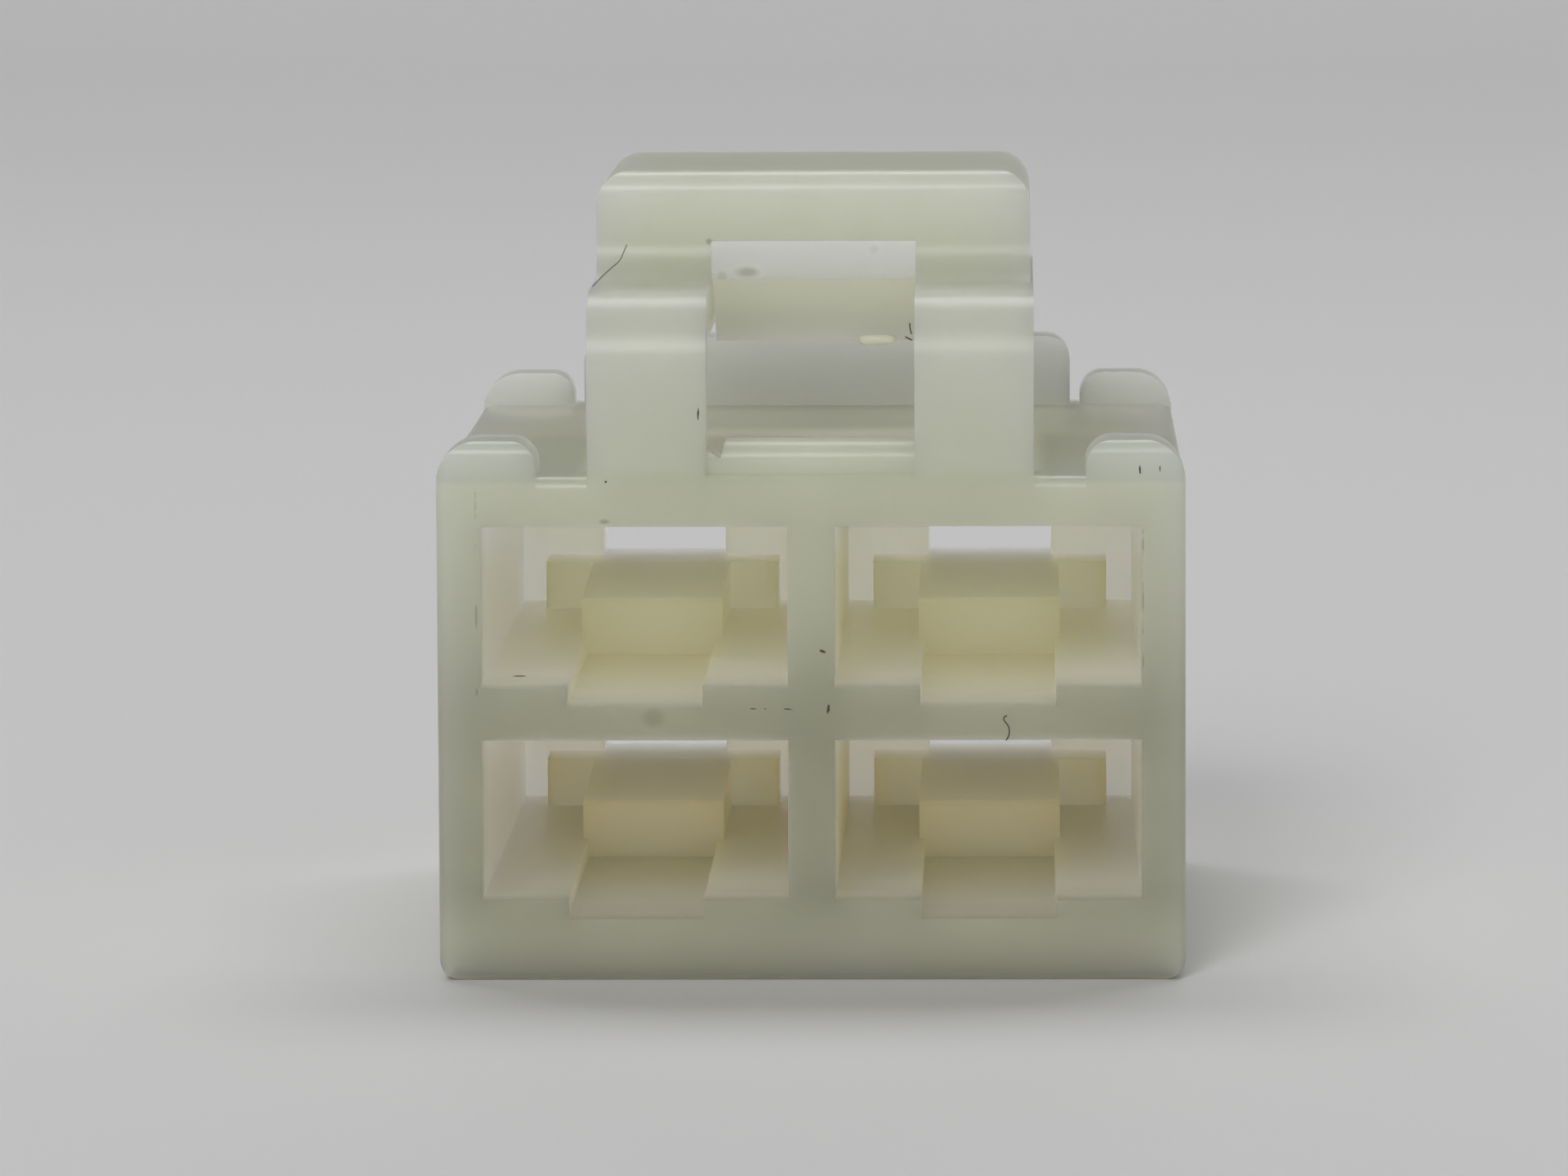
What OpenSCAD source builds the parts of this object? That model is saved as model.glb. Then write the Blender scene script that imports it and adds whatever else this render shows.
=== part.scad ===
// Wire to board connector housing: four terminal cavities in two rows, moulded in one piece
// with the latch lever on its top. Millimetres. X runs across the mating face, Y from the
// mating face to the wire side, and Z up from the face that the housing stands on.

/* [Cavities] */
// Cavities side by side
cols = 2; // [2:1:4]
// Rows of cavities, one above the other
rows = 2; // [1:1:3]
// Width of a cavity
cav_w = 8.2; // [7.9:0.1:12]
// Height of a cavity
cav_h = 4.33; // [3.8:0.01:7]
// Width of the tool notch in a cavity's floor
notch_w = 3.63; // [2:0.01:5]
// Depth of the tool notch
notch_d = 0.5; // [0.2:0.05:0.8]

/* [Walls] */
// Length from the mating face to the wire side
body_l = 24; // [20:0.5:40]
// Outer side wall
side_wall = 1.175; // [0.8:0.005:3]
// Wall between two cavities of a row
web = 1.25; // [0.8:0.05:3]
// Wall between two rows
row_wall = 1.41; // [1.2:0.01:3]
// Wall under the lowest row
bottom_wall = 2.15; // [1.2:0.05:4]
// Wall over the highest row
top_wall = 1.33; // [1:0.01:3]
// Wall at the wire side
rear_wall = 2.1; // [1:0.1:4]
// Rounding of the two lower long edges
bottom_r = 0.6; // [0.3:0.05:1]
// Rounding of the two upper long edges
upper_r = 0.25; // [0.1:0.05:0.5]
// Rounding of the body's upper front edge
front_r = 0.35; // [0.1:0.05:0.6]
// Rounding of the lower edges of both end faces
foot_r = 0.2; // [0.1:0.05:0.5]
// Rounding of the upright edges
upright_r = 0.25; // [0.1:0.05:0.6]

/* [Terminal locks] */
// Width of the locking rail on a cavity's floor
rail_w = 3.95; // [2:0.05:5]
// Distance from the mating face to the rail's locking shoulder
rail_y = 12.4; // [8:0.1:15]
// Height of the shoulder over the cavity floor
shoulder_h = 1.07; // [0.5:0.01:1.3]
// Height of the rail's rear end over the cavity floor
rail_h = 1.35; // [1.3:0.01:2]
// Rounding of the shoulder's upper edge
shoulder_r = 0.15; // [0.05:0.05:0.3]
// Width of the crimp rest across the rail's rear end
rest_w = 6.7; // [5:0.1:7.5]
// Length of the crimp rest
rest_l = 2.1; // [1:0.1:4]

/* [Wire entries] */
// Width of the channel for the crimp and the tang
channel_w = 3.55; // [2:0.05:6]
// Width of the slot for the terminal's box
slot_w = 7.8; // [6.5:0.1:7.8]
// Height of that slot, measured down from the cavity's ceiling
slot_h = 2.15; // [1.5:0.05:2.3]
// Lead-in at the mouth of an entry
entry_lead = 0.4; // [0.1:0.05:0.6]

/* [Ribs] */
// Width of a corner rib
ear_w = 2.66; // [2:0.01:3]
// Height of a corner rib over the body
ear_h = 0.95; // [0.8:0.05:2]
// Length of a corner rib at the mating face
ear_l = 2.2; // [1:0.1:4]
// Length of the corner ribs and of the guard wall at the wire side
guard_l = 1.7; // [1:0.1:3]
// Height of the guard wall over the body
guard_h = 2; // [1:0.05:3]
// Gap between the guard wall and a corner rib
guard_gap = 0.29; // [0.2:0.01:1]
// Outer rounding of a rib
ear_outer_r = 1.1; // [0.4:0.05:1.4]
// Inner rounding of a rib and rounding of the guard wall's corners
ear_inner_r = 0.7; // [0.3:0.05:0.75]
// Rounding of the end edge on top of a rib
ear_edge_r = 0.4; // [0.1:0.05:0.6]

/* [Latch arms] */
// Width of one latch leg
leg_w = 3.18; // [2:0.01:4]
// Clear width between the two legs
window_w = 5.56; // [4.4:0.01:7]
// Thickness of a leg
leg_t = 1.3; // [0.8:0.05:2]
// Thickness of an arm
arm_t = 1.3; // [0.8:0.05:2]
// Height of the arm's top over the body
arm_h = 4.85; // [4.4:0.05:7]
// Outer radius of the bend from leg to arm
bend_r = 1.9; // [1:0.05:2.4]
// Radius in the corner under that bend
bend_in_r = 0.6; // [0.2:0.05:1]

/* [Thumb pad] */
// Distance from the mating face to the pad
pad_y = 5; // [4.5:0.1:7]
// Length of the pad
pad_l = 9.8; // [7:0.1:12]
// Height of the pad's top over the arm
pad_h = 3; // [2:0.05:4]
// How far an arm stands out past the pad
pad_step = 0.08; // [0:0.01:0.5]
// Rounding of the pad's upper side corners
pad_corner_r = 0.9; // [0.3:0.05:1.4]
// Rounding of the pad's front and rear upper edges
pad_edge_r = 0.6; // [0.2:0.05:0.9]
// Fillet between arm and pad
pad_root_r = 1.2; // [0.3:0.05:1.5]

/* [Hook] */
// Lead-in chamfer under the pad's front
lead = 1; // [0.4:0.05:1.4]
// Height of that chamfer's lower edge over the arm's top
lead_z = 0.15; // [0:0.05:0.6]
// Distance from the pad's front to the hook's locking face
hook_l = 4.7; // [3:0.1:6]
// Height of the hook's tip over the body
hook_clear = 2.9; // [2:0.05:3.2]
// Flat at the hook's tip
hook_flat = 0.3; // [0.1:0.05:0.8]

/* [Stop rib] */
// Height of the rib between the legs over the body
stop_h = 0.9; // [0.8:0.05:2]
// Thickness of that rib
stop_t = 1.3; // [0.8:0.05:2]
// How far the rib lies behind the mating face
stop_back = 0.35; // [0.35:0.05:1]
// Rounding of the rib's upper front edge
stop_r = 0.5; // [0.2:0.05:0.6]
// Width of the nick at the rib's left end
nick_w = 0.75; // [0.3:0.05:1]
// Depth of that nick
nick_d = 0.45; // [0.2:0.05:0.6]

/* [Hidden] */
$fn = 48;
eps = 0.01;
plastic = [0.86, 0.88, 0.8];

body_w = cols * cav_w + (cols - 1) * web + 2 * side_wall;
body_h = bottom_wall + rows * cav_h + (rows - 1) * row_wall + top_wall;
cav_l = body_l - rear_wall;
col_pitch = cav_w + web;
row_pitch = cav_h + row_wall;
ear_z = body_h + ear_h;
guard_w = body_w - 2 * (ear_w + guard_gap);
guard_z = body_h + guard_h;
foot_z = body_h - top_wall / 2; // where what stands on the body starts inside its top wall
arm_z = body_h + arm_h;
pad_z = arm_z + pad_h;
pad_end = pad_y + pad_l;
hook_y = pad_y + hook_l;
hook_z = body_h + hook_clear;
lead_low = arm_z + lead_z;
stop_z = body_h + stop_h;
latch_w = window_w + 2 * leg_w;
pad_w = latch_w - 2 * pad_step;

// Solid whose section in X and Z runs along Y from 0
module along_y(length) {
    translate([0, length, 0]) rotate([90, 0, 0]) linear_extrude(length) children();
}

// Solid whose section in Y and Z runs across X, centred
module across_x(width) {
    rotate([90, 0, 90]) linear_extrude(width, center = true) children();
}

// What rounding takes off a corner p, where sx and sy point into the shape
module off_corner(p, r, sx, sy) {
    difference() {
        translate([p[0] - (sx > 0 ? eps : r), p[1] - (sy > 0 ? eps : r)]) square(r + eps);
        translate([p[0] + sx * r, p[1] + sy * r]) circle(r);
    }
}

// Section of the body, across
module body_section() {
    difference() {
        translate([-body_w / 2, 0]) square([body_w, body_h]);
        for (s = [-1, 1]) {
            off_corner([s * body_w / 2, 0], bottom_r, -s, 1);
            off_corner([s * body_w / 2, body_h], upper_r, -s, -1);
        }
    }
}

// Side outline of the body
module body_side() {
    difference() {
        square([body_l, body_h]);
        off_corner([0, 0], foot_r, 1, 1);
        off_corner([body_l, 0], foot_r, -1, 1);
        off_corner([0, body_h], front_r, 1, -1);
    }
}

// Plan of the body, which rounds its upright edges and those of the corner ribs
module body_plan() {
    difference() {
        translate([-body_w / 2, 0]) square([body_w, body_l]);
        for (s = [-1, 1]) {
            off_corner([s * body_w / 2, 0], upright_r, -s, 1);
            off_corner([s * body_w / 2, body_l], upright_r, -s, -1);
        }
    }
}

// Right corner rib with its end face at Y 0
module ear(length) {
    intersection() {
        along_y(length) difference() {
            translate([body_w / 2 - ear_w, foot_z]) square([ear_w, ear_z - foot_z]);
            off_corner([body_w / 2, ear_z], ear_outer_r, -1, -1);
            off_corner([body_w / 2 - ear_w, ear_z], ear_inner_r, 1, -1);
        }
        across_x(body_w + 1) difference() {
            translate([0, foot_z - eps]) square([length, ear_z - foot_z + eps]);
            off_corner([0, ear_z], ear_edge_r, 1, -1);
        }
    }
}

// Wall across the wire side, behind the thumb pad
module guard() {
    translate([0, body_l - guard_l, 0]) along_y(guard_l) difference() {
        translate([-guard_w / 2, foot_z]) square([guard_w, guard_z - foot_z]);
        for (s = [-1, 1]) off_corner([s * guard_w / 2, guard_z], ear_inner_r, -s, -1);
    }
}

module body() {
    intersection() {
        union() {
            intersection() {
                along_y(body_l) body_section();
                across_x(body_w) body_side();
            }
            for (s = [0, 1]) mirror([s, 0, 0]) {
                ear(ear_l);
                translate([0, body_l, 0]) mirror([0, 1, 0]) ear(guard_l);
            }
        }
        linear_extrude(ear_z + 1) body_plan();
    }
    guard();
}

// One cavity: its chamber and tool notch, less the locking rail, and its wire entry
module cavity() {
    difference() {
        union() {
            translate([-cav_w / 2, -eps, 0]) cube([cav_w, cav_l + eps, cav_h]);
            translate([-notch_w / 2, -eps, -notch_d]) cube([notch_w, rail_y + eps, notch_d + eps]);
        }
        rail();
    }
    entry(channel_w, rail_h);
    entry(slot_w, cav_h - slot_h);
}

// Locking rail: the tang of a terminal drops in front of its shoulder
module rail() {
    across_x(rail_w) difference() {
        polygon([
            [rail_y, -notch_d - eps], [cav_l + eps, -notch_d - eps], [cav_l + eps, rail_h],
            [cav_l - rest_l, rail_h], [rail_y, shoulder_h]
        ]);
        off_corner([rail_y, shoulder_h], shoulder_r, 1, -1);
    }
    translate([-rest_w / 2, cav_l - rest_l, -eps]) cube([rest_w, rest_l + eps, rail_h + eps]);
}

// Opening through the rear wall from a height over the floor to the cavity's ceiling
module entry(width, rise) {
    across_x(width) polygon([
        [cav_l - eps, rise], [body_l - entry_lead, rise],
        [body_l + eps, rise - entry_lead - eps], [body_l + eps, cav_h], [cav_l - eps, cav_h]
    ]);
}

// Side outline of a leg and its arm
module arm_side() {
    difference() {
        union() {
            translate([0, foot_z]) square([leg_t, arm_z - foot_z]);
            translate([0, arm_z - arm_t]) square([pad_end, arm_t]);
            translate([leg_t - eps, arm_z - arm_t - bend_in_r]) square(bend_in_r + eps);
        }
        off_corner([0, arm_z], bend_r, 1, -1);
        translate([leg_t + bend_in_r, arm_z - arm_t - bend_in_r]) circle(bend_in_r);
        off_corner([pad_end, arm_z - arm_t], pad_edge_r, -1, 1);
    }
}

// Side outline of the thumb pad with its root, the arms included
module pad_side() {
    difference() {
        union() {
            translate([pad_y, arm_z - arm_t]) square([pad_l, arm_t + pad_h]);
            translate([pad_y - pad_root_r, arm_z - eps]) square(pad_root_r + eps);
        }
        off_corner([pad_y, pad_z], pad_edge_r, 1, -1);
        off_corner([pad_end, pad_z], pad_edge_r, -1, -1);
        off_corner([pad_end, arm_z - arm_t], pad_edge_r, -1, 1);
        translate([pad_y - pad_root_r, arm_z + pad_root_r]) circle(pad_root_r);
    }
}

// Outline of the pad from the front
module pad_front() {
    difference() {
        translate([-pad_w / 2, body_h]) square([pad_w, pad_z - body_h]);
        for (s = [-1, 1]) off_corner([s * pad_w / 2, pad_z], pad_corner_r, -s, -1);
    }
}

// Hook between the arms, from the side: lead-in, ramp, tip and locking face
module hook_side() {
    polygon([
        [pad_y, lead_low + lead], [pad_y + lead, lead_low], [hook_y - hook_flat, hook_z],
        [hook_y, hook_z], [hook_y, lead_low + lead]
    ]);
}

// Window between the arms, from the side, open to the front and above the body
module window_side() {
    difference() {
        translate([-1, body_h + eps]) square([pad_end + 2, arm_z - body_h - eps]);
        hook_side();
    }
    polygon([
        [-1, arm_z - eps], [pad_y + lead, arm_z - eps], [pad_y + lead, lead_low],
        [pad_y, lead_low + lead], [pad_y, pad_z + 1], [-1, pad_z + 1]
    ]);
}

// Rib between the feet of the legs, which stops the mating header
module stop_rib() {
    difference() {
        across_x(window_w + 2 * eps) difference() {
            translate([stop_back, foot_z]) square([stop_t, stop_z - foot_z]);
            off_corner([stop_back, stop_z], stop_r, 1, -1);
        }
        translate([-window_w / 2, 0, stop_z]) along_y(stop_back + stop_t + 1)
            polygon([[-1, -nick_d / 2], [0, -nick_d / 2], [nick_w / 2, -nick_d], [nick_w, 1], [-1, 1]]);
    }
}

module latch() {
    difference() {
        union() {
            across_x(latch_w) arm_side();
            across_x(window_w) hook_side();
            intersection() {
                across_x(pad_w) pad_side();
                along_y(body_l) pad_front();
            }
        }
        across_x(window_w) window_side();
    }
    stop_rib();
}

module housing() {
    color(plastic) translate([0, -body_l / 2, 0]) difference() {
        union() {
            body();
            latch();
        }
        for (c = [0 : cols - 1], r = [0 : rows - 1])
            translate([(c - (cols - 1) / 2) * col_pitch, 0, bottom_wall + r * row_pitch]) cavity();
    }
}

housing();
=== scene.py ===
import math
import random

import bmesh
import bpy
from mathutils import Matrix, Vector


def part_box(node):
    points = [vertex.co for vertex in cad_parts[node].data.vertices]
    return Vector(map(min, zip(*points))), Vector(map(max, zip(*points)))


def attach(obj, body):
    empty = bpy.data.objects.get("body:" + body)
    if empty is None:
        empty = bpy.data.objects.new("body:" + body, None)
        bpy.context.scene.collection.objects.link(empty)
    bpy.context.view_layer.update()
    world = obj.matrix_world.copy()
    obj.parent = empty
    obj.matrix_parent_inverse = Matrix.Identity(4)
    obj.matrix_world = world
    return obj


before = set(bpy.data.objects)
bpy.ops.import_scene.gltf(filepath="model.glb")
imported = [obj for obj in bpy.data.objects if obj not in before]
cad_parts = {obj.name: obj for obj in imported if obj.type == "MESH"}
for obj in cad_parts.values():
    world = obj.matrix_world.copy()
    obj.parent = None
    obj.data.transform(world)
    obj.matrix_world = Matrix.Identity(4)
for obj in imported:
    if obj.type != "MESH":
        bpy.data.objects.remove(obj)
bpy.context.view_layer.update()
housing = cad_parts["housing"]
low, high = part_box("housing")

MM = 0.001
scene = bpy.context.scene
random.seed(7)

# Places on the housing: x from its middle, y back from the mating face, z up from the table, in mm.
mid_x = (low.x + high.x) / 2


def at(x, y, z):
    return Vector((mid_x + x * MM, low.y + y * MM, low.z + z * MM))


# ---------------------------------------------------------------- camera

# Place, then its turn to the side, how far it looks down and its roll, in degrees. Lens in mm.
CAMERA_AT = (5.41, -242.0, 36.32)
CAMERA_TURN = 1.449
CAMERA_DOWN = 6.071
CAMERA_ROLL = -0.264
LENS = 209.5
SENSOR = 36


def add_camera():
    data = bpy.data.cameras.new("camera")
    data.lens = LENS
    data.sensor_width = SENSOR
    data.clip_start = 0.01
    data.clip_end = 50
    camera = bpy.data.objects.new("camera", data)
    scene.collection.objects.link(camera)
    turn = Matrix.Rotation(math.radians(CAMERA_TURN), 4, "Z")
    tilt = Matrix.Rotation(math.radians(90 - CAMERA_DOWN), 4, "X")
    roll = Matrix.Rotation(math.radians(CAMERA_ROLL), 4, "Z")
    camera.matrix_world = Matrix.Translation(at(*CAMERA_AT)) @ turn @ tilt @ roll
    scene.camera = camera


# ---------------------------------------------------------------- node trees


class Nodes:
    """Short names for building a node tree."""

    def __init__(self, tree):
        self.tree = tree

    def put(self, socket, value):
        if isinstance(value, bpy.types.NodeSocket):
            self.tree.links.new(value, socket)
        else:
            socket.default_value = value

    def add(self, kind, **sockets):
        node = self.tree.nodes.new(kind)
        for key, value in sockets.items():
            self.put(node.inputs[key.replace("_", " ")], value)
        return node

    def operate(self, kind, operation, *values):
        node = self.tree.nodes.new(kind)
        node.operation = operation
        for socket, value in zip(node.inputs, values):
            self.put(socket, value)
        return node.outputs

    def math(self, operation, *values):
        return self.operate("ShaderNodeMath", operation, *values)["Value"]

    def vector(self, operation, *values):
        return self.operate("ShaderNodeVectorMath", operation, *values)

    def product(self, first, *others):
        for other in others:
            first = self.math("MULTIPLY", first, other)
        return first

    def ramp(self, value, start, end):
        """0 at start and 1 at end, smooth between them."""
        node = self.add("ShaderNodeMapRange", Value=value, From_Min=start, From_Max=end)
        node.interpolation_type = "SMOOTHSTEP"
        return node.outputs["Result"]

    def split(self, vector):
        return self.add("ShaderNodeSeparateXYZ", Vector=vector).outputs

    def mix(self, factor, a, b):
        """Colour a where the factor is 0, and colour b where it is 1."""
        node = self.tree.nodes.new("ShaderNodeMix")
        node.data_type = "RGBA"
        self.put(node.inputs["Factor"], factor)
        self.put(node.inputs[6], a)
        self.put(node.inputs[7], b)
        return node.outputs[2]

    def noise(self, vector, scale, detail=3.0):
        node = self.add("ShaderNodeTexNoise", Vector=vector, Scale=scale, Detail=detail)
        return node.outputs["Fac"]


class Surface(Nodes):
    """A material and its node tree."""

    def __init__(self, name):
        self.material = bpy.data.materials.new(name)
        self.material.use_nodes = True
        super().__init__(self.material.node_tree)
        self.tree.nodes.clear()
        self.place = self.add("ShaderNodeTexCoord").outputs["Object"]

    def finish(self, base, **look):
        shader = self.add("ShaderNodeBsdfPrincipled", Base_Color=base, **look)
        self.add("ShaderNodeOutputMaterial", Surface=shader.outputs["BSDF"])
        return self.material


class Moulding(Surface):
    """A material that knows the places on the housing, in mm."""

    def __init__(self, name):
        super().__init__(name)
        self.x, self.y, self.z = self.split(self.place)
        self.away = self.math("ABSOLUTE", self.math("SUBTRACT", self.x, mid_x))

    def aside(self, start, end):
        """A ramp from the middle to both sides."""
        return self.ramp(self.away, start * MM, end * MM)

    def back(self, start, end):
        return self.ramp(self.y, low.y + start * MM, low.y + end * MM)

    def up(self, start, end):
        return self.ramp(self.z, low.z + start * MM, low.z + end * MM)

    def block(self, half, deep, tall, across=0.0):
        """1 inside a block that is half wide to each side of a place across the housing."""
        offset = self.math("SUBTRACT", self.x, mid_x + across * MM)
        inside = self.math("LESS_THAN", self.math("ABSOLUTE", offset), half * MM)
        for value, start, (near, far) in ((self.y, low.y, deep), (self.z, low.z, tall)):
            after = self.math("GREATER_THAN", value, start + near * MM)
            before = self.math("LESS_THAN", value, start + far * MM)
            inside = self.product(inside, after, before)
        return inside

    def spot(self, centre, reach):
        """1 round a centre, fading to 0 at its reach along each axis."""
        offset = self.vector("SUBTRACT", self.place, at(*centre))["Vector"]
        scaled = self.vector("DIVIDE", offset, Vector(reach) * MM)["Vector"]
        return self.ramp(self.vector("LENGTH", scaled)["Value"], 1.0, 0.25)

    def patches(self, scale, part, strength):
        """Loose patches, where the noise is in the part of its range that counts."""
        return self.product(self.ramp(self.noise(self.place, scale), *part), strength)


# ---------------------------------------------------------------- the nylon

# Painted shade: the mating face gets darker colours than the sides, darkest near the table, and the
# latch's foot, the corner ribs and the guard wall get darker colours too.
# Painted light: the cavities' walls and the body's top under the latch are near white, so that they
# look lit as by light carried through the plastic, and the hook's ramp and nose are given a painted
# glow and highlight.
PAINTED_SHADE_FOOT = (0.39, 0.39, 0.28, 1)
PAINTED_SHADE_LOW = (0.262, 0.267, 0.19, 1)
PAINTED_SHADE_HIGH = (0.475, 0.50, 0.37, 1)
SIDES = (0.62, 0.635, 0.50, 1)
LATCH_PAINTED_SHADE_LOW = (0.465, 0.495, 0.36, 1)
LATCH = (0.582, 0.612, 0.478, 1)
CORNERS_PAINTED_SHADE = (0.41, 0.44, 0.35, 1)
REAR_RIBS_PAINTED_SHADE = (0.46, 0.47, 0.39, 1)
UNDER_LATCH_PAINTED_LIGHT = (0.99, 0.99, 0.90, 1)
CAVITY_PAINTED_LIGHT_LOW = (0.975, 0.952, 0.82, 1)
CAVITY_PAINTED_LIGHT_HIGH = (0.996, 0.993, 0.905, 1)
HOOK_RAMP_PAINTED_GLOW = (0.998, 0.996, 0.75, 1)
HOOK_NOSE_PAINTED_HIGHLIGHT = (0.998, 0.998, 0.94, 1)
MILK = (1, 1, 1, 1)
MOTTLE = (0.42, 0.45, 0.26, 1)
BLUSH = (0.985, 0.955, 0.84, 1)
STAIN = (0.16, 0.16, 0.10, 1)

# Where a colour fades in, from nothing at the first place to all of it at the second, in mm: up
# from the table, back from the mating face, or aside from the middle.
PAINTED_SHADE_LOW_UP = (0.8, 2.6)
PAINTED_SHADE_HIGH_UP = (6.5, 13.2)
PAINTED_SHADE_FACE_DEPTH = (0.15, 1.5)
BODY_TOP_UP = (13.3, 13.5)
LATCH_PAINTED_SHADE_UP = (14.0, 17.5)
CORNERS_PAINTED_SHADE_ASIDE = (6.1, 6.5)
REAR_RIBS_SHADE_BACK = (11.5, 13.0)
REAR_RIBS_SHADE_UP = (17.0, 16.8)
PAINTED_LIGHT_LATCH_ASIDE = (6.4, 5.4)
PAINTED_LIGHT_LATCH_UP = (17.5, 17.1)
PAINTED_LIGHT_LATCH_NEAR = (1.2, 2.2)
PAINTED_LIGHT_LATCH_FAR = (16.0, 11.0)
CAVITY_PAINTED_LIGHT_UP = (5.0, 9.0)
CAVITY_PAINTED_LIGHT_BACK = (-0.6, 4.0)
HOOK_NOSE_HIGHLIGHT_UP = (18.3, 18.5)
# Half width, then the reach back and up, of the block that holds the cavities' painted light and of
# the hook's painted glow.
CAVITY_PAINTED_LIGHT_BLOCK = (9.4, (0.05, 23.9), (0.8, 12.9))
HOOK_PAINTED_GLOW_BLOCK = (2.78, (4.6, 10.0), (16.4, 19.5))

MILK_SCALE = 160.0
MILK_STRENGTH = 0.12
# Scale of the noise, the part of its range that counts, and how strong the patches are.
MOTTLED = (420.0, (0.45, 0.7), 0.10)
BLUSHED = (330.0, (0.45, 0.65), 0.5)
BROKEN = (1500.0, (0.5, 0.62), 0.5)
GRAIN_SCALE = 2600.0
GRAIN_DETAIL = 4.0
GRAIN_HEIGHT = 0.02

# Centre, reach along each axis, and how dark: faint grey patches in the plastic.
STAINS = (
    ((-4.22, 0.0, 7.09), (0.42, 0.6, 0.36), 0.42),
    ((-1.82, 5.97, 18.6), (0.46, 0.5, 0.24), 0.45),
    ((-2.52, 6.0, 18.44), (0.22, 0.4, 0.26), 0.25),
    ((1.64, 5.29, 19.26), (0.2, 0.4, 0.26), 0.2),
    ((-2.83, 5.0, 19.5), (0.12, 0.4, 0.12), 0.5),
    ((-5.5, 0.0, 12.36), (0.2, 0.3, 0.1), 0.6),
    ((-7.3, 5.5, 11.6), (1.2, 2.5, 1.2), 0.12),
)
# Faint broken lines that the mould left beside the cavities: place across, lowest and highest.
WITNESS = ((-8.94, 7.7, 14.0), (8.86, 7.7, 12.3))
WITNESS_HALF = 0.03
WITNESS_DEEP = (-0.1, 0.1)


def body_colour_with_painted_shade(n):
    # Painted shade: the mating face darker than the sides and darker towards the table.
    face_shade = n.mix(n.up(*PAINTED_SHADE_LOW_UP), PAINTED_SHADE_FOOT, PAINTED_SHADE_LOW)
    face_shade = n.mix(n.up(*PAINTED_SHADE_HIGH_UP), face_shade, PAINTED_SHADE_HIGH)
    return n.mix(n.back(*PAINTED_SHADE_FACE_DEPTH), face_shade, SIDES)


def top_colour_with_painted_shade(n):
    """The latch, the corner ribs and the guard wall, which stand on the body, with painted shade:
    darker at the latch's foot, on the corner ribs and on the guard wall.
    """
    latch = n.mix(n.up(*LATCH_PAINTED_SHADE_UP), LATCH_PAINTED_SHADE_LOW, LATCH)
    top = n.mix(n.aside(*CORNERS_PAINTED_SHADE_ASIDE), latch, CORNERS_PAINTED_SHADE)
    rear_shade = n.product(n.back(*REAR_RIBS_SHADE_BACK), n.up(*REAR_RIBS_SHADE_UP))
    return n.mix(rear_shade, top, REAR_RIBS_PAINTED_SHADE)


def shell_tone_and_painted_light(n):
    shell = n.mix(n.up(*BODY_TOP_UP), body_colour_with_painted_shade(n), top_colour_with_painted_shade(n))
    cloudy = n.product(n.noise(n.place, MILK_SCALE), MILK_STRENGTH)
    shell = n.mix(cloudy, shell, MILK)
    shell = n.mix(n.patches(*MOTTLED), shell, MOTTLE)
    # Painted light: the body's top under the latch is made near white, a pale patch that stands in
    # for light.
    under = n.product(n.aside(*PAINTED_LIGHT_LATCH_ASIDE), n.up(*PAINTED_LIGHT_LATCH_UP), n.up(*BODY_TOP_UP))
    under = n.product(under, n.back(*PAINTED_LIGHT_LATCH_NEAR), n.back(*PAINTED_LIGHT_LATCH_FAR))
    return n.mix(under, shell, UNDER_LATCH_PAINTED_LIGHT)


def cavity_painted_light_and_blush(n):
    # Painted light: the cavities' walls near white, lighter in the upper row; the blush patches are
    # a random tone of the plastic.
    painted_light_hollow = n.mix(n.up(*CAVITY_PAINTED_LIGHT_UP), CAVITY_PAINTED_LIGHT_LOW, CAVITY_PAINTED_LIGHT_HIGH)
    return n.mix(n.patches(*BLUSHED), painted_light_hollow, BLUSH)


def marked(n, base):
    """The colour with its stains and the mould's lines."""
    for centre, reach, dark in STAINS:
        base = n.mix(n.product(n.spot(centre, reach), dark), base, STAIN)
    broken = n.patches(*BROKEN)
    for across, *tall in WITNESS:
        line = n.block(WITNESS_HALF, WITNESS_DEEP, tall, across)
        base = n.mix(n.product(line, broken), base, STAIN)
    return base


def nylon():
    n = Moulding("nylon")
    # Painted light in the cavities, fading in back from the mating face.
    inside = n.product(n.block(*CAVITY_PAINTED_LIGHT_BLOCK), n.back(*CAVITY_PAINTED_LIGHT_BACK))
    base = n.mix(inside, shell_tone_and_painted_light(n), cavity_painted_light_and_blush(n))
    # Painted glow on the hook's ramp and a painted highlight on its nose.
    hook = n.mix(n.up(*HOOK_NOSE_HIGHLIGHT_UP), HOOK_RAMP_PAINTED_GLOW, HOOK_NOSE_PAINTED_HIGHLIGHT)
    base = n.mix(n.block(*HOOK_PAINTED_GLOW_BLOCK), base, hook)
    grain = n.noise(n.place, GRAIN_SCALE, GRAIN_DETAIL)
    bump = n.add("ShaderNodeBump", Strength=0.12, Distance=GRAIN_HEIGHT * MM, Height=grain)
    return n.finish(
        marked(n, base),
        Roughness=0.32,
        IOR=1.53,
        Subsurface_Weight=1.0,
        Subsurface_Radius=(1.0, 1.0, 1.0),
        Subsurface_Scale=0.01,
        Normal=bump.outputs["Normal"],
    )


# ---------------------------------------------------------------- the housing

# Bends under this angle are shaded smooth, and sharper edges are rounded, in mm. Faces that lie
# flatter to each other than the last angle are joined first.
SHARP = math.radians(35)
EDGE = 0.1
FLAT = math.radians(0.5)


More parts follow.
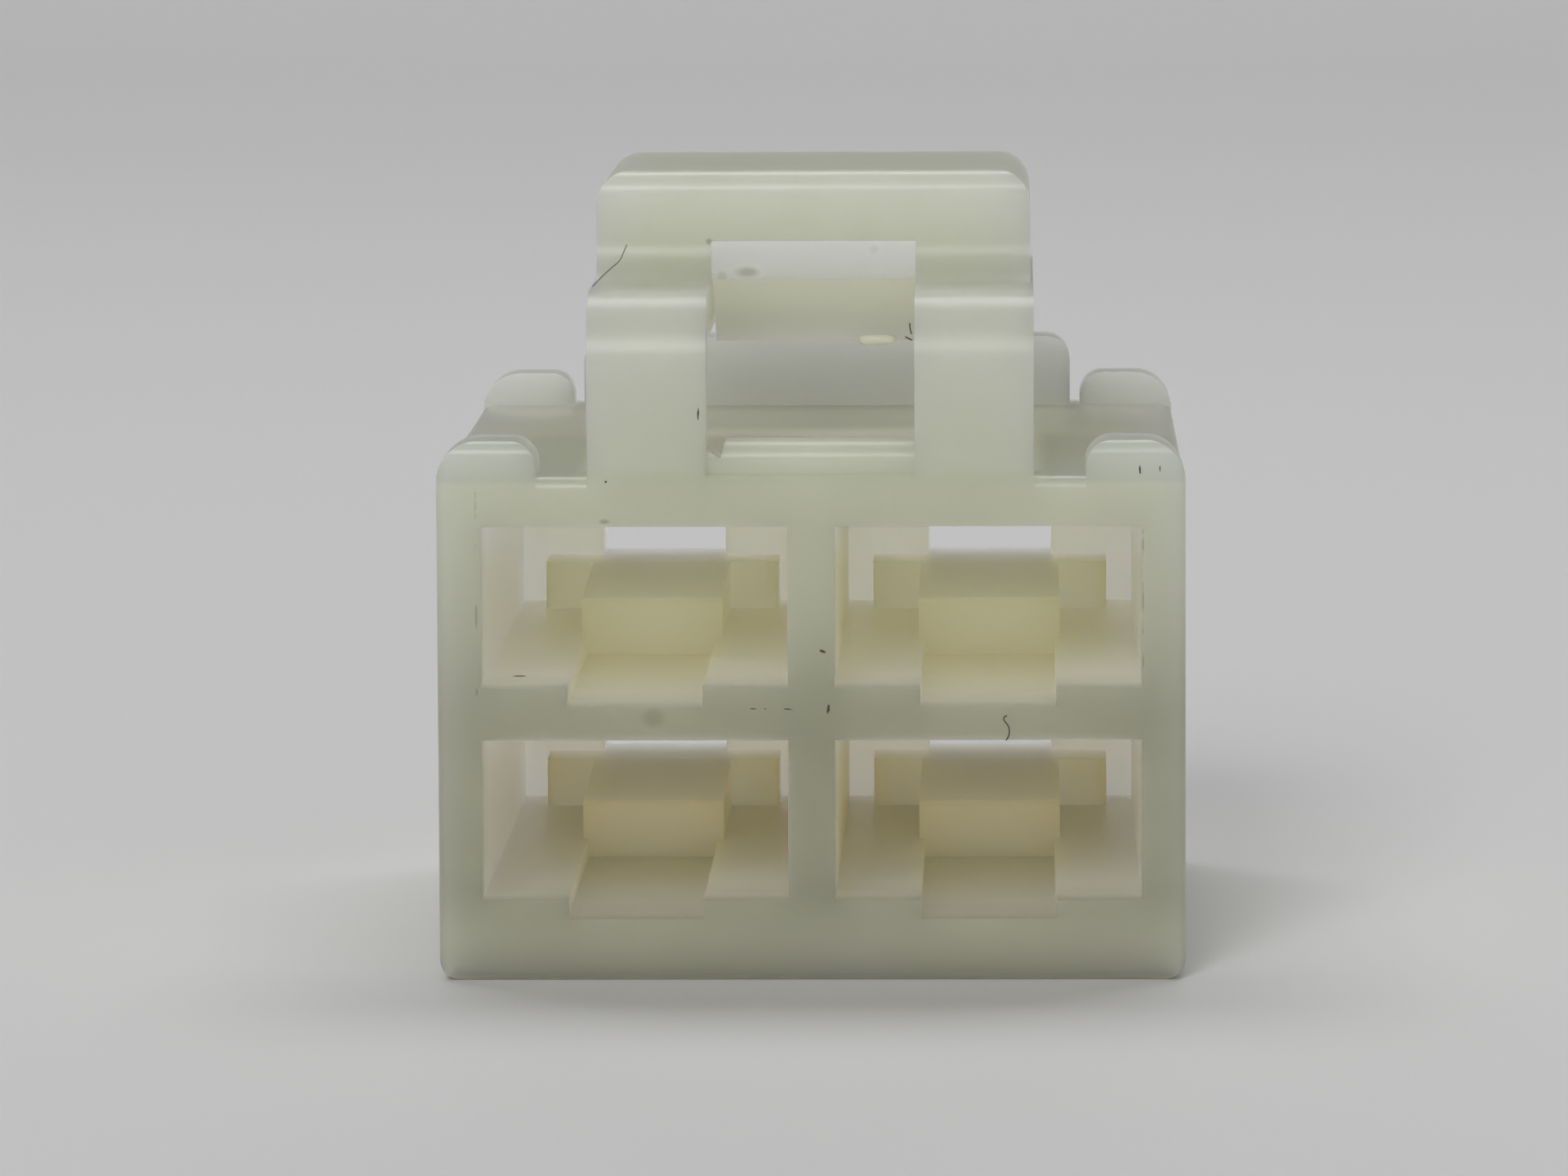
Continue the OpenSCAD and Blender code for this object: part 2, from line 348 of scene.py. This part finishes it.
def smooth_bends(piece):
    """Shades the gentle bends smooth and keeps the corners sharp."""
    group = bpy.data.node_groups.new("smooth_bends", "GeometryNodeTree")
    for way in ("INPUT", "OUTPUT"):
        group.interface.new_socket("Geometry", in_out=way, socket_type="NodeSocketGeometry")
    make = group.nodes.new
    link = group.links.new
    start = make("NodeGroupInput")
    end = make("NodeGroupOutput")
    faces = make("GeometryNodeSetShadeSmooth")
    faces.domain = "FACE"
    edges = make("GeometryNodeSetShadeSmooth")
    edges.domain = "EDGE"
    edges.inputs["Shade Smooth"].default_value = False
    angle = make("GeometryNodeInputMeshEdgeAngle")
    corner = make("FunctionNodeCompare")
    corner.operation = "GREATER_THAN"
    corner.inputs[1].default_value = SHARP
    link(angle.outputs[0], corner.inputs[0])
    link(corner.outputs[0], edges.inputs["Selection"])
    link(start.outputs[0], faces.inputs[0])
    link(faces.outputs[0], edges.inputs[0])
    link(edges.outputs[0], end.inputs[0])
    piece.modifiers.new("smooth", "NODES").node_group = group


def dress_housing():
    housing.data.materials.clear()
    housing.data.materials.append(nylon())
    flat = housing.modifiers.new("flat", "DECIMATE")
    flat.decimate_type = "DISSOLVE"
    flat.angle_limit = FLAT
    smooth_bends(housing)
    bevel = housing.modifiers.new("edges", "BEVEL")
    bevel.width = EDGE * MM
    bevel.segments = 2
    bevel.limit_method = "ANGLE"
    bevel.angle_limit = SHARP
    weighted = housing.modifiers.new("weighted", "WEIGHTED_NORMAL")
    weighted.keep_sharp = True


# ---------------------------------------------------------------- dirt, hairs and flash

# Name, thickness and the points that it follows: loose hairs, and a crack at the left arm.
HAIRS = (
    ("hair_web", 0.036, (
        (5.23, 0, 7.13), (5.16, 0, 7.11), (5.13, 0, 7.04), (5.19, 0, 6.95),
        (5.27, 0, 6.86), (5.30, 0, 6.70), (5.27, 0, 6.56), (5.20, 0, 6.47),
    )),
    ("hair_leg", 0.034, ((2.57, 8.50, 16.98), (2.56, 8.77, 16.82), (2.61, 9.04, 16.66))),
    ("hair_tip", 0.040, ((2.44, 9.20, 16.56), (2.52, 9.26, 16.51), (2.61, 9.36, 16.46))),
    ("crack_arm", 0.030, (
        (-5.06, 4.97, 19.42), (-5.13, 4.95, 19.26), (-5.24, 4.83, 18.99), (-5.42, 4.72, 18.85),
        (-5.66, 4.50, 18.65), (-5.86, 4.12, 18.45), (-5.93, 3.35, 18.40),
    )),
)
# Name, place, half sizes and turn in degrees round the line of sight: specks of dirt.
SPECKS = (
    ("speck_web_a", (0.32, 0, 8.87), (0.09, 0.02, 0.035), 22),
    ("speck_web_b", (0.46, 0, 7.33), (0.035, 0.02, 0.12), 8),
    ("speck_rib_a", (8.78, 0, 13.71), (0.025, 0.015, 0.11), -4),
    ("speck_rib_b", (9.31, 0, 13.74), (0.016, 0.012, 0.08), 0),
    ("speck_leg", (-2.98, 0, 15.22), (0.022, 0.012, 0.16), 2),
    ("speck_face", (-5.45, 0, 13.43), (0.03, 0.015, 0.03), 0),
    ("speck_bar_a", (-1.55, 0, 7.33), (0.09, 0.012, 0.015), 0),
    ("speck_bar_b", (-1.22, 0, 7.33), (0.03, 0.012, 0.012), 0),
    ("speck_bar_c", (-0.62, 0, 7.32), (0.12, 0.012, 0.016), 3),
    ("speck_floor", (-7.95, 2.81, 7.89), (0.16, 0.1, 0.012), 0),
)
# The nylon that was squeezed out at the hook's lower edge, in the same order.
FLASH = ("flash_hook", (1.66, 9.3, 16.5), (0.56, 0.28, 0.2), 0)
SPECK_SWELL = 0.25
FLASH_SWELL = 0.06


def wavering(name, scale, dark, light, **look):
    """A material whose colour wavers between two."""
    n = Surface(name)
    return n.finish(n.mix(n.noise(n.place, scale), dark, light), **look)


def dirt():
    return wavering("dirt", 9000.0, (0.035, 0.03, 0.015, 1), (0.10, 0.09, 0.05, 1), Roughness=0.7)


def crack():
    return wavering("crack", 9000.0, (0.16, 0.17, 0.12, 1), (0.24, 0.25, 0.19, 1), Roughness=0.7)


def flash():
    """The nylon where it is squeezed out thin: whiter, and it lets less light through."""
    return wavering(
        "flash",
        2500.0,
        (0.86, 0.88, 0.74, 1),
        (0.95, 0.97, 0.84, 1),
        Roughness=0.35,
        IOR=1.53,
        Subsurface_Weight=0.4,
        Subsurface_Radius=(1.0, 1.0, 1.0),
        Subsurface_Scale=0.0006,
    )


def keep(name, data, material):
    piece = bpy.data.objects.new(name, data)
    scene.collection.objects.link(piece)
    data.materials.append(material)
    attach(piece, "root")


def add_hair(name, thickness, points, material):
    data = bpy.data.curves.new(name, "CURVE")
    data.dimensions = "3D"
    data.bevel_depth = thickness / 2 * MM
    data.bevel_resolution = 2
    data.use_fill_caps = True
    spline = data.splines.new("NURBS")
    spline.points.add(len(points) - 1)
    for point, place in zip(spline.points, points):
        point.co = (*at(*place), 1)
    spline.order_u = 3
    spline.use_endpoint_u = True
    keep(name, data, material)


def add_lump(name, place, half, turn, material, swell):
    """A small lump that lies on the surface, uneven by its swell."""
    mesh = bmesh.new()
    bmesh.ops.create_icosphere(mesh, subdivisions=3, radius=1.0)
    shape = Matrix.Translation(at(*place)) @ Matrix.Rotation(math.radians(turn), 4, "Y")
    for vert in mesh.verts:
        wave = math.sin(3 * vert.co.x + 5 * vert.co.z + place[0])
        size = 1 + swell * wave * random.uniform(0.6, 1)
        vert.co = shape @ Vector(c * h * MM * size for c, h in zip(vert.co, half))
    data = bpy.data.meshes.new(name)
    mesh.to_mesh(data)
    mesh.free()
    data.polygons.foreach_set("use_smooth", [True] * len(data.polygons))
    keep(name, data, material)


def add_dirt():
    brown = dirt()
    grey = crack()
    for name, thickness, points in HAIRS:
        add_hair(name, thickness, points, grey if name.startswith("crack") else brown)
    for speck in SPECKS:
        add_lump(*speck, brown, SPECK_SWELL)
    add_lump(*FLASH, flash(), FLASH_SWELL)


# ---------------------------------------------------------------- floor and light

FLOOR_HALF = 3.0
PAPER_SCALE = 9.0
PAPER_WARM = (0.83, 0.825, 0.83, 1)
PAPER_PLAIN = (0.85, 0.85, 0.85, 1)
# Painted shade: the paper darkens towards its far end, standing in for the lamps' light falling
# off, between these places in metres.
PAPER_FALLOFF_PLACES = (0.0, 0.5)
PAPER_FALLOFF_DARK = (0.0, 0.0, 0.02, 1)
PAPER_PAINTED_FALLOFF = 0.26

# The sky's colours at the horizon and from this height up, as a share of straight up.
SKY_LOW = (3.4, 3.35, 3.3, 1)
SKY_HIGH = (0.62, 0.62, 0.64, 1)
SKY_RISE = (0.0, 0.25)
SKY_STRENGTH = 0.137

# Name, place, what it is aimed at, size across and along, watts, and whether it shows in the gloss.
LAMPS = (
    ("rear_lamp", (0, 580, 1120), (0, 0, 0), (1340, 520), 6.4, True),
    ("left_lamp", (-930, -3760, 2240), (0, 0, 0), (1300, 1600), 67, True),
    ("right_lamp", (1790, -2240, 2240), (0, 0, 0), (1300, 1600), 5.5, True),
    ("rear_low", (0, 1500, 330), (0, 0, 10), (900, 300), 3.3, False),
    ("front_fill", (0, -500, 80), (0, 0, 8), (300, 200), 0.36, False),
)
# Light is followed through this many bounces, because it goes far in the milky plastic.
BOUNCES = 32


def paper():
    n = Surface("paper")
    base = n.mix(n.noise(n.place, PAPER_SCALE), PAPER_WARM, PAPER_PLAIN)
    y = n.split(n.add("ShaderNodeNewGeometry").outputs["Position"])["Y"]
    # Painted shade: darker towards the far end.
    base = n.mix(n.product(n.ramp(y, *PAPER_FALLOFF_PLACES), PAPER_PAINTED_FALLOFF), base, PAPER_FALLOFF_DARK)
    return n.finish(base, Roughness=0.85)


def add_floor():
    mesh = bmesh.new()
    bmesh.ops.create_grid(mesh, x_segments=1, y_segments=1, size=FLOOR_HALF)
    data = bpy.data.meshes.new("floor")
    mesh.to_mesh(data)
    mesh.free()
    floor = bpy.data.objects.new("floor", data)
    scene.collection.objects.link(floor)
    floor.location = (0, 0, low.z)
    data.materials.append(paper())


def add_lamp(name, place, target, size, watts, gloss):
    """A soft lamp that shines from a place to its target."""
    data = bpy.data.lights.new(name, "AREA")
    data.shape = "RECTANGLE"
    data.size = size[0] * MM
    data.size_y = size[1] * MM
    data.energy = watts
    light = bpy.data.objects.new(name, data)
    light.visible_camera = False
    light.visible_glossy = gloss
    scene.collection.objects.link(light)
    start = at(*place)
    light.location = start
    away = (start - at(*target)).normalized()
    across = Vector((0, 1, 0)).cross(away).normalized()
    along = away.cross(across)
    light.rotation_euler = Matrix((across, along, away)).transposed().to_euler()


def add_world():
    world = bpy.data.worlds.new("world")
    world.use_nodes = True
    n = Nodes(world.node_tree)
    height = n.split(n.add("ShaderNodeTexCoord").outputs["Generated"])["Z"]
    back = n.tree.nodes["Background"]
    n.put(back.inputs["Color"], n.mix(n.ramp(height, *SKY_RISE), SKY_LOW, SKY_HIGH))
    n.put(back.inputs["Strength"], SKY_STRENGTH)
    scene.world = world


scene.view_settings.view_transform = "Standard"
scene.cycles.max_bounces = BOUNCES
scene.cycles.diffuse_bounces = BOUNCES
add_camera()
dress_housing()
add_dirt()
add_floor()
add_world()
for lamp in LAMPS:
    add_lamp(*lamp)
